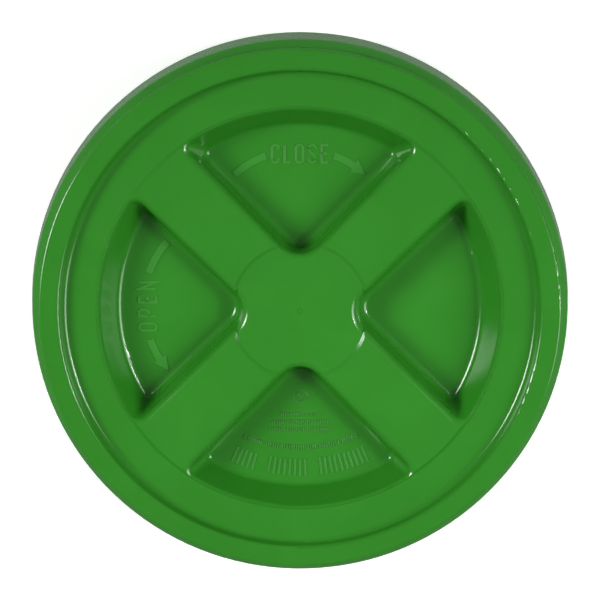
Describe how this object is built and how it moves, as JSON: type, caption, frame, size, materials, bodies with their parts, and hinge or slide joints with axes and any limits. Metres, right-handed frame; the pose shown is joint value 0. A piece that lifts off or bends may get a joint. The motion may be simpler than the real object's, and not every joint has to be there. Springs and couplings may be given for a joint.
{
  "type": "screw-on bucket lid",
  "caption": "Green plastic screw-on lid for a fermenting bucket: an adapter ring that snaps on the rim, and a lid with finger pockets that screws into it on a rubber seal.",
  "frame": {"origin": "centre of the lid on the plane of the collar's foot, the lowest face; the lid is stored screwed shut", "axes": "+Z is the screw axis and points out of the bucket through the lid's top, +Y points to the pocket marked for closing, and +X is to the right of it seen from above"},
  "size_m": [0.33, 0.33, 0.05],
  "materials": {
    "ring_plastic": "injection-moulded polyethylene, glossy",
    "lid_plastic": "injection-moulded polyethylene, glossy",
    "gasket_rubber": "foamed rubber, dull",
    "seal_rubber": "moulded rubber, satin"
  },
  "bodies": {
    "ring": {"adapter_ring": "ring_plastic", "bucket_gasket": "gasket_rubber"},
    "seal": {"lid_gasket": "seal_rubber"},
    "lid": {"spin_lid": "lid_plastic"}
  },
  "joints": [
    {"name": "lid_rise", "type": "slide", "parent": "ring", "child": "seal", "axis": [0, 0, 1], "range_m": [0, 0.0135]},
    {"name": "lid_turn", "type": "hinge", "parent": "seal", "child": "lid", "pos_m": [0, 0, 0], "axis": [0, 0, 1], "range_deg": [0, 540]}
  ],
  "couplings": [
    {"joint": "lid_rise", "follows": "lid_turn", "m_per_rad": 0.0014324}
  ]
}
